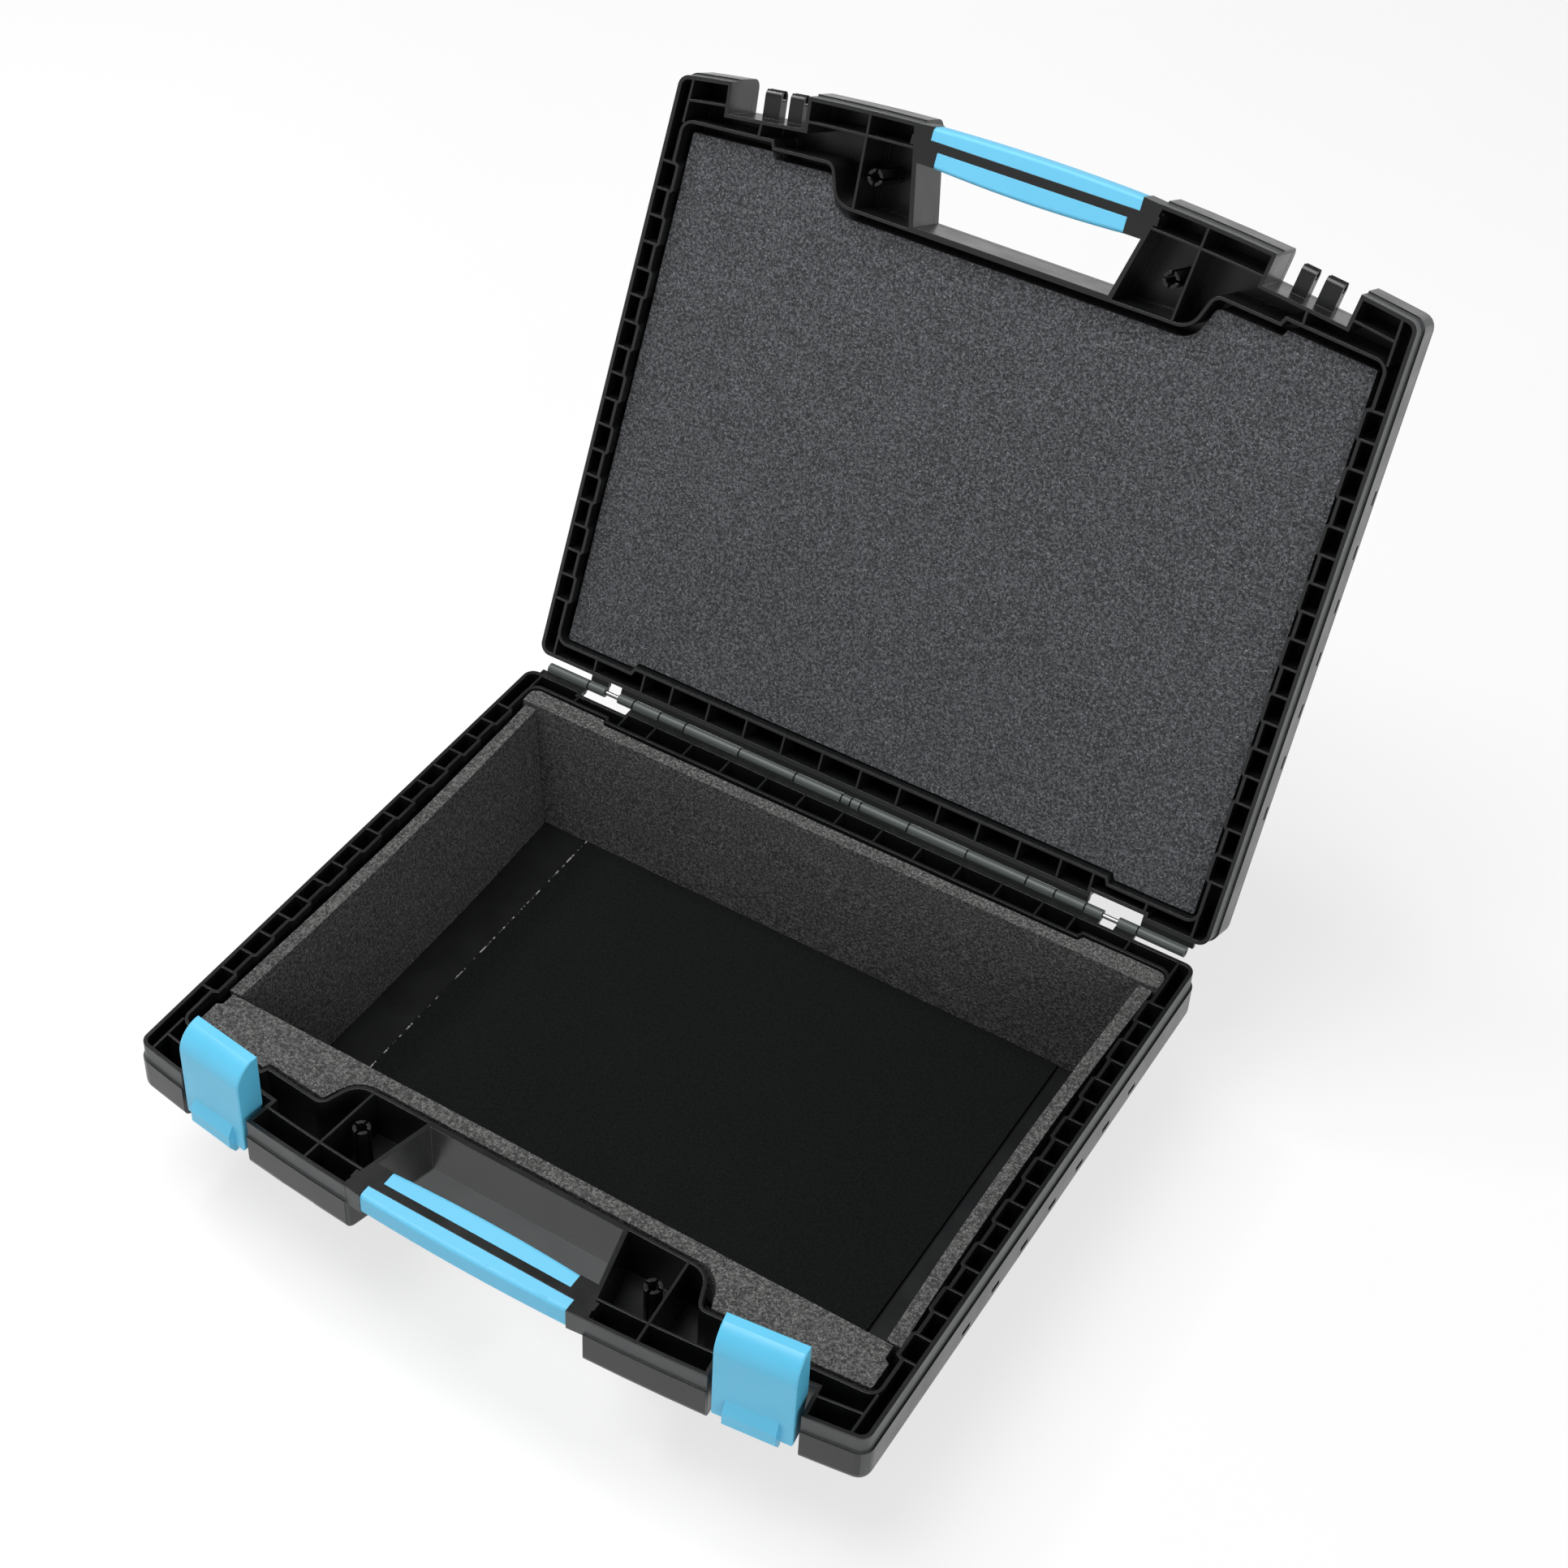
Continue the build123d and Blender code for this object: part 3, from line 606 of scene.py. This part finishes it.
@dataclass(frozen=True)
class Foam:
    """Open-cell foam: dark pores, mottled cell walls with a few bright flecks, and a soft, dry surface.

    Attributes:
        name: The material's name.
        colour: The main colour.
        speck: The colour of the bright cell walls.
        edge_x: Where a line of painted glints on cut fibres runs from front to rear, if there is one.
        cell_scale: Cells per metre.
        mottle_scale: The mottle's scale, as a share of the cells'.
        mottle_band: The mottle's values between which the cell walls turn bright.
        mottle_share: How bright they turn.
        fleck_scale: The flecks' scale, as a share of the cells'.
        fleck_band: The noise's values between which a fleck turns bright.
        fleck_share: How bright it turns.
        cloud_scale: Clouds per metre.
        cloud_lift: How much lighter the clouds are.
        pore_band: The distances from a pore's middle between which it lightens.
        pore_shade: How dark its middle is.
        heights: The shares of the pores and of the mottle in the bump.
        bump: The bump's strength.
        depth: The bump's depth.
        roughness: The roughness.
        gloss: The specular level.
        fibre_glint: The colour of the painted glints on the cut fibres.
        glint_band: Where that line starts to fade and where it ends, as distances from its middle.
        glint_scale: The scale of its breaks.
        break_band: The noise's values between which it is broken and whole.
    """

    name: str
    colour: Colour
    speck: Colour
    edge_x: float | None = None
    cell_scale: float = 900.0
    mottle_scale: float = 0.75
    mottle_band: tuple[float, float] = (0.42, 0.72)
    mottle_share: float = 0.55
    fleck_scale: float = 1.5
    fleck_band: tuple[float, float] = (0.64, 0.76)
    fleck_share: float = 0.9
    cloud_scale: float = 22.0
    cloud_lift: float = 1.2
    pore_band: tuple[float, float] = (0.05, 0.45)
    pore_shade: float = 0.25
    heights: tuple[float, float] = (0.7, 0.8)
    bump: float = 0.7
    depth: float = 0.5 * MM
    roughness: float = 0.95
    gloss: float = 0.15
    fibre_glint: Colour = (0.40, 0.40, 0.39)
    glint_band: tuple[float, float] = (0.2 * MM, 0.7 * MM)
    glint_scale: float = 210.0
    break_band: tuple[float, float] = (0.49, 0.60)

    def build(self) -> bpy.types.Material:
        """Builds the material.

        Returns:
            The material with its node graph.
        """
        graph = Graph(self.name)
        at = graph.place()
        pore = graph.cells(self.cell_scale, at)
        mottle = graph.noise(self.cell_scale * self.mottle_scale, rough=0.7, at=at)
        colour = self.speckled(graph, at, pore, mottle)
        # A broken pale line along the sheet's left edge is a painted highlight: glints on the cut fibres of the
        # lit edge.
        if self.edge_x is not None:
            colour = graph.mix(self.fibre_glints(graph, at), colour, self.fibre_glint)
        height = graph.math("ADD", *(graph.product(*pair) for pair in zip((pore, mottle), self.heights)))
        graph.shade({
            "Base Color": colour,
            "Roughness": self.roughness,
            "Specular IOR Level": self.gloss,
            "Normal": graph.bump(height, self.bump, self.depth),
        })
        return graph.material

    def speckled(self, graph: Graph, at: Socket, pore: Socket, mottle: Socket) -> Socket:
        """Gives the foam's colour, with its clouds, its mottle, its flecks and its pores.

        Args:
            graph: The material's graph.
            at: The object coordinates.
            pore: The distance to the nearest pore's middle.
            mottle: The noise of the cell walls.

        Returns:
            The colour.
        """
        cloud = graph.noise(self.cloud_scale, detail=5.0, rough=0.6, at=at)
        fleck = graph.noise(self.cell_scale * self.fleck_scale, detail=1.0, at=at)
        base = graph.mix(graph.spread(cloud), self.colour, scaled(self.colour, self.cloud_lift))
        walls = graph.remap(mottle, *self.mottle_band, 0.0, self.mottle_share)
        flecks = graph.remap(fleck, *self.fleck_band, 0.0, self.fleck_share)
        flecked = graph.mix(flecks, graph.mix(walls, base, self.speck), self.speck)
        dark = graph.remap(pore, *self.pore_band, self.pore_shade, 1.0)
        grey = graph.add("ShaderNodeCombineColor", {0: dark, 1: dark, 2: dark}).outputs[0]
        return graph.mix(1.0, flecked, grey, blend_type="MULTIPLY")

    def fibre_glints(self, graph: Graph, at: Socket) -> Socket:
        """Finds the broken line of painted glints on the cut fibres along the sheet's lit left edge.

        Args:
            graph: The material's graph.
            at: The object coordinates.

        Returns:
            A mask that is 1 on the line.
        """
        across = graph.add("ShaderNodeSeparateXYZ", {0: at}).outputs[0]
        off = graph.math("ABSOLUTE", graph.math("SUBTRACT", across, self.edge_x))
        line = graph.remap(off, *self.glint_band, 1.0, 0.0)
        whole = graph.remap(graph.noise(self.glint_scale, rough=0.7, at=at), *self.break_band)
        return graph.product(line, whole)


@dataclass(frozen=True)
class Steel:
    """Plain drawn steel wire.

    Attributes:
        name: The material's name.
        bright: The colour where the streaks are weak.
        dull: The colour where they are strong.
        streak_scale: Streaks per metre.
        roughness: The least and the greatest roughness.
    """

    name: str = "steel_wire"
    bright: Colour = (0.42, 0.42, 0.43)
    dull: Colour = (0.30, 0.30, 0.31)
    streak_scale: float = 300.0
    roughness: tuple[float, float] = (0.25, 0.4)

    def build(self) -> bpy.types.Material:
        """Builds the material.

        Returns:
            The material with its node graph.
        """
        graph = Graph(self.name)
        streak = graph.noise(self.streak_scale)
        graph.shade({
            "Metallic": 1.0,
            "Base Color": graph.mix(streak, self.bright, self.dull),
            "Roughness": graph.spread(streak, *self.roughness),
        })
        return graph.material


@dataclass(frozen=True)
class FoamPiece:
    """One foam piece of the lining, cut from its CAD solid: crisp, softened edges and a slightly uneven skin.

    Attributes:
        node: The CAD node that the piece replaces.
        body: The body that it rides on.
        slot: The record's material slot.
        bow: How far its middle is bowed.
        ripple: How uneven its skin is.
        ripple_scale: How many ripples it has per metre, roughly.
        edge: The radius of its edges.
        edge_segments: How many faces round each edge.
        grid: The distance of its grid of cuts.
        sharp: The least angle of an edge that is rounded.
        flat: The greatest angle of an edge that is dissolved.
        merge: The distance within which points are merged.
        near: The distance within which a point counts as on a cut.
    """

    node: str
    body: str
    slot: Slot
    bow: Vector = field(default_factory=lambda: Vector((0, 0, 0)))
    ripple: float = 0.3 * MM
    ripple_scale: float = 28.0
    edge: float = 0.5 * MM
    edge_segments: int = 2
    grid: float = 7.0 * MM
    sharp: float = 30.0
    flat: float = 0.5
    merge: float = 0.001 * MM
    near: float = 0.01 * MM

    def build(self, source: bpy.types.Object, material: bpy.types.Material) -> None:
        """Builds the piece, riding on its body in place of its CAD node.

        Args:
            source: The CAD node.
            material: The foam's material.
        """
        work = bmesh.new()
        work.from_mesh(source.data)
        bmesh.ops.remove_doubles(work, verts=work.verts, dist=self.merge)
        flat = math.radians(self.flat)
        bmesh.ops.dissolve_limit(work, angle_limit=flat, verts=work.verts, edges=work.edges)
        self.round_edges(work)
        self.cut_grid(work)
        self.unsettle(work)
        mesh = bpy.data.meshes.new("soft_" + self.node)
        work.to_mesh(mesh)
        work.free()
        mesh.materials.append(material)
        piece = bpy.data.objects.new(mesh.name, mesh)
        bpy.context.scene.collection.objects.link(piece)
        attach(piece, self.body)
        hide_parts(self.node)
        LOG.info("%s: %d faces", piece.name, len(mesh.polygons))

    def round_edges(self, work: bmesh.types.BMesh) -> None:
        """Rounds the cut edges by a small radius.

        Args:
            work: The piece's mesh.
        """
        least = math.radians(self.sharp)
        bmesh.ops.bevel(
            work,
            geom=[edge for edge in work.edges if edge.is_manifold and edge.calc_face_angle() > least],
            offset=self.edge,
            offset_type="OFFSET",
            segments=self.edge_segments,
            profile=0.5,
            affect="EDGES",
            clamp_overlap=True,
            material=-1,
        )

    def cut_grid(self, work: bmesh.types.BMesh) -> None:
        """Cuts the faces along an even grid, so that the skin can be bent.

        Args:
            work: The piece's mesh.
        """
        for axis in range(3):
            low, high = self.extent(work, axis)
            count = int((high - low) / self.grid)
            across = Vector([float(index == axis) for index in range(3)])
            for step in range(1, count):
                everything = [*work.verts, *work.edges, *work.faces]
                point = across * (low + (high - low) * step / count)
                bmesh.ops.bisect_plane(work, geom=everything, dist=self.near, plane_co=point, plane_no=across)

    def unsettle(self, work: bmesh.types.BMesh) -> None:
        """Bows a long strip inwards at its middle and makes the skin uneven.

        Args:
            work: The piece's mesh.
        """
        work.normal_update()
        extents = [self.extent(work, axis) for axis in range(3)]
        long = max(range(3), key=lambda axis: extents[axis][1] - extents[axis][0])
        low, high = extents[long]
        middle, half = (low + high) / 2, (high - low) / 2
        for vertex in work.verts:
            share = 1.0 - ((vertex.co[long] - middle) / half) ** 2
            wave = noise.noise(vertex.co * self.ripple_scale) * self.ripple
            vertex.co += self.bow * share + vertex.normal * (wave - self.ripple)

    @staticmethod
    def extent(work: bmesh.types.BMesh, axis: int) -> tuple[float, float]:
        """Gives a mesh's lowest and highest place along an axis.

        Args:
            work: The mesh.
            axis: The axis, from 0 to 2.

        Returns:
            The two places.
        """
        places = [vertex.co[axis] for vertex in work.verts]
        return min(places), max(places)


@dataclass(frozen=True)
class Softbox:
    """A square area lamp that points at a spot.

    Attributes:
        name: The lamp's name.
        place: Where it hangs.
        size: The length of its side.
        watts: Its power.
        aim: The spot that it points at.
    """

    name: str
    place: Triple
    size: float
    watts: float
    aim: Triple = (0.0, 0.05, 0.12)

    def create(self) -> None:
        """Creates the lamp."""
        data = bpy.data.lights.new(self.name, "AREA")
        data.size = self.size
        data.energy = self.watts
        lamp = bpy.data.objects.new(self.name, data)
        lamp.location = self.place
        lamp.rotation_euler = (Vector(self.aim) - Vector(self.place)).to_track_quat("-Z", "Y").to_euler()
        bpy.context.scene.collection.objects.link(lamp)


@dataclass(frozen=True)
class Studio:
    """A white floor, a soft white world and lamps: a wide one above, one at the side, a small one for glints.

    Attributes:
        lamps: The lamps.
        floor_radius: The floor's radius.
        floor_sides: How many sides the round floor has.
        floor_scale: Patches of the floor's tone per metre.
        floor_tones: The floor's two nearly equal whites.
        floor_roughness: The floor's roughness.
        floor_glow: How much of the floor shines by itself, where it is seen, so that it stays white.
        horizon: The world's strength at the horizon.
        zenith: The world's strength overhead.
        rise: The heights on the unit sphere between which the strength falls.
    """

    lamps: tuple[Softbox, ...] = (
        Softbox("overhead", (-0.5, -0.3, 2.4), 1.5, 55.0),
        Softbox("side", (2.2, -1.0, 1.1), 1.2, 12.0),
        Softbox("glint", (-1.5, 0.3, 2.2), 0.3, 16.0),
    )
    floor_radius: float = 12.0
    floor_sides: int = 96
    floor_scale: float = 3.0
    floor_tones: tuple[Colour, Colour] = ((0.80, 0.80, 0.80), (0.83, 0.83, 0.83))
    floor_roughness: float = 0.7
    floor_glow: float = 0.72
    horizon: float = 0.9
    zenith: float = 0.16
    rise: tuple[float, float] = (0.15, 0.6)

    def build(self) -> None:
        """Creates the floor, the world and the lamps."""
        self.floor()
        self.world()
        for lamp in self.lamps:
            lamp.create()

    def floor(self) -> None:
        """Creates the floor that the tray stands on, which the camera sees nearly white."""
        mesh = bpy.data.meshes.new("floor")
        work = bmesh.new()
        bmesh.ops.create_circle(work, cap_ends=True, radius=self.floor_radius, segments=self.floor_sides)
        work.to_mesh(mesh)
        work.free()
        floor = bpy.data.objects.new("floor", mesh)
        bpy.context.scene.collection.objects.link(floor)
        mesh.materials.append(self.floor_material())

    def floor_material(self) -> bpy.types.Material:
        """Builds the floor's material: matt white, with a glow for the rays that show it.

        Returns:
            The material with its node graph.
        """
        graph = Graph("floor")
        tone = graph.spread(graph.noise(self.floor_scale))
        graph.shade({"Base Color": graph.mix(tone, *self.floor_tones), "Roughness": self.floor_roughness})
        inputs = {
            0: graph.product(graph.backdrop_rays(), self.floor_glow),
            1: graph.shader.outputs[0],
            2: graph.add("ShaderNodeEmission").outputs[0],
        }
        blend = graph.add("ShaderNodeMixShader", inputs)
        graph.set(graph.tree.nodes["Material Output"], "Surface", blend.outputs[0])
        return graph.material

    def world(self) -> None:
        """Lights the room softly: white at the horizon, darker overhead."""
        world = bpy.data.worlds.new("studio")
        world.use_nodes = True
        bpy.context.scene.world = world
        tree = world.node_tree
        background = tree.nodes["Background"]
        background.inputs["Color"].default_value = (1.0, 1.0, 1.0, 1.0)
        place = tree.nodes.new("ShaderNodeTexCoord")
        parts = tree.nodes.new("ShaderNodeSeparateXYZ")
        strength = tree.nodes.new("ShaderNodeMapRange")
        ends = ("From Min", "From Max", "To Min", "To Max")
        for name, value in zip(ends, (*self.rise, self.horizon, self.zenith)):
            strength.inputs[name].default_value = value
        tree.links.new(place.outputs["Generated"], parts.inputs[0])
        tree.links.new(parts.outputs["Z"], strength.inputs["Value"])
        tree.links.new(strength.outputs["Result"], background.inputs["Strength"])


class ToolCase:
    """The tool case: its materials, its hard CAD pieces and its foam lining."""

    FOAMS = (
        FoamPiece("base_foam_rear", "tray", Slot.TRAY_FOAM, bow=Vector((0, -0.0006, 0))),
        FoamPiece("base_foam_front", "tray", Slot.TRAY_FOAM),
        FoamPiece("base_foam_left", "tray", Slot.TRAY_FOAM, bow=Vector((0.0024, 0, 0))),
        FoamPiece("base_foam_right", "tray", Slot.TRAY_FOAM, bow=Vector((-0.0024, 0, 0))),
        FoamPiece("base_floor_sheet", "tray", Slot.FLOOR_FOAM, ripple=0.1 * MM, edge=0.3 * MM),
        FoamPiece("lid_foam", "lid", Slot.LID_FOAM),
    )
    HARD = {
        "hinge_pin": Slot.PIN,
        "latch_left": Slot.LATCH,
        "latch_right": Slot.LATCH,
        "base_grip_outer": Slot.GRIP,
        "base_grip_inner": Slot.GRIP,
        "lid_grip_outer": Slot.GRIP,
        "lid_grip_inner": Slot.GRIP,
    }
    SHELLS = {
        "base_shell": Moulding("tray_polypropylene", (0.0, 0.0, 0.084), has_tub=True),
        "lid_shell": Moulding("lid_polypropylene", (0.0, 0.23078, 0.23244), turn=114.5),
    }
    FINISHES = {
        Slot.LATCH: Plastic("blue_plastic", (0.092, 0.46, 0.69), (0.102, 0.49, 0.72), 0.38),
        Slot.GRIP: Plastic("blue_rubber", (0.112, 0.46, 0.69), (0.125, 0.49, 0.72), 0.55, grain=0.2),
        Slot.PIN: Steel(),
        Slot.TRAY_FOAM: Foam("tray_foam", (0.038, 0.0380, 0.0375), (0.28, 0.28, 0.275)),
        Slot.FLOOR_FOAM: Foam("floor_foam", (0.0030, 0.0034, 0.0034), (0.010, 0.011, 0.011), edge_x=-0.1416),
        Slot.LID_FOAM: Foam("lid_foam", (0.031, 0.032, 0.035), (0.23, 0.235, 0.25)),
    }

    def __init__(self, frame: dict) -> None:
        """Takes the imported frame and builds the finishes.

        Args:
            frame: The frame, with the objects of its nodes by name.
        """
        self.nodes = frame["nodes"]
        self.materials = {slot: finish.build() for slot, finish in self.FINISHES.items()}

    def build(self) -> None:
        """Dresses the hard pieces and builds the lining."""
        for name, slot in self.HARD.items():
            self.dress(name, self.materials[slot])
        for name, moulding in self.SHELLS.items():
            self.dress(name, moulding.build())
        for foam in self.FOAMS:
            foam.build(self.nodes[foam.node], self.materials[foam.slot])

    def dress(self, name: str, material: bpy.types.Material) -> None:
        """Gives a CAD node its material.

        Args:
            name: The node's name.
            material: The material.
        """
        for holder in self.nodes[name].material_slots:
            holder.material = material
        LOG.info("%s: %s", name, material.name)


def main() -> None:
    """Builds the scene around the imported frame."""
    logging.basicConfig(level=logging.INFO, format="%(name)s: %(message)s")
    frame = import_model()
    bpy.context.scene.view_settings.view_transform = "Standard"
    CameraPose().create()
    Studio().build()
    ToolCase(frame).build()


if __name__ == "__main__":
    main()
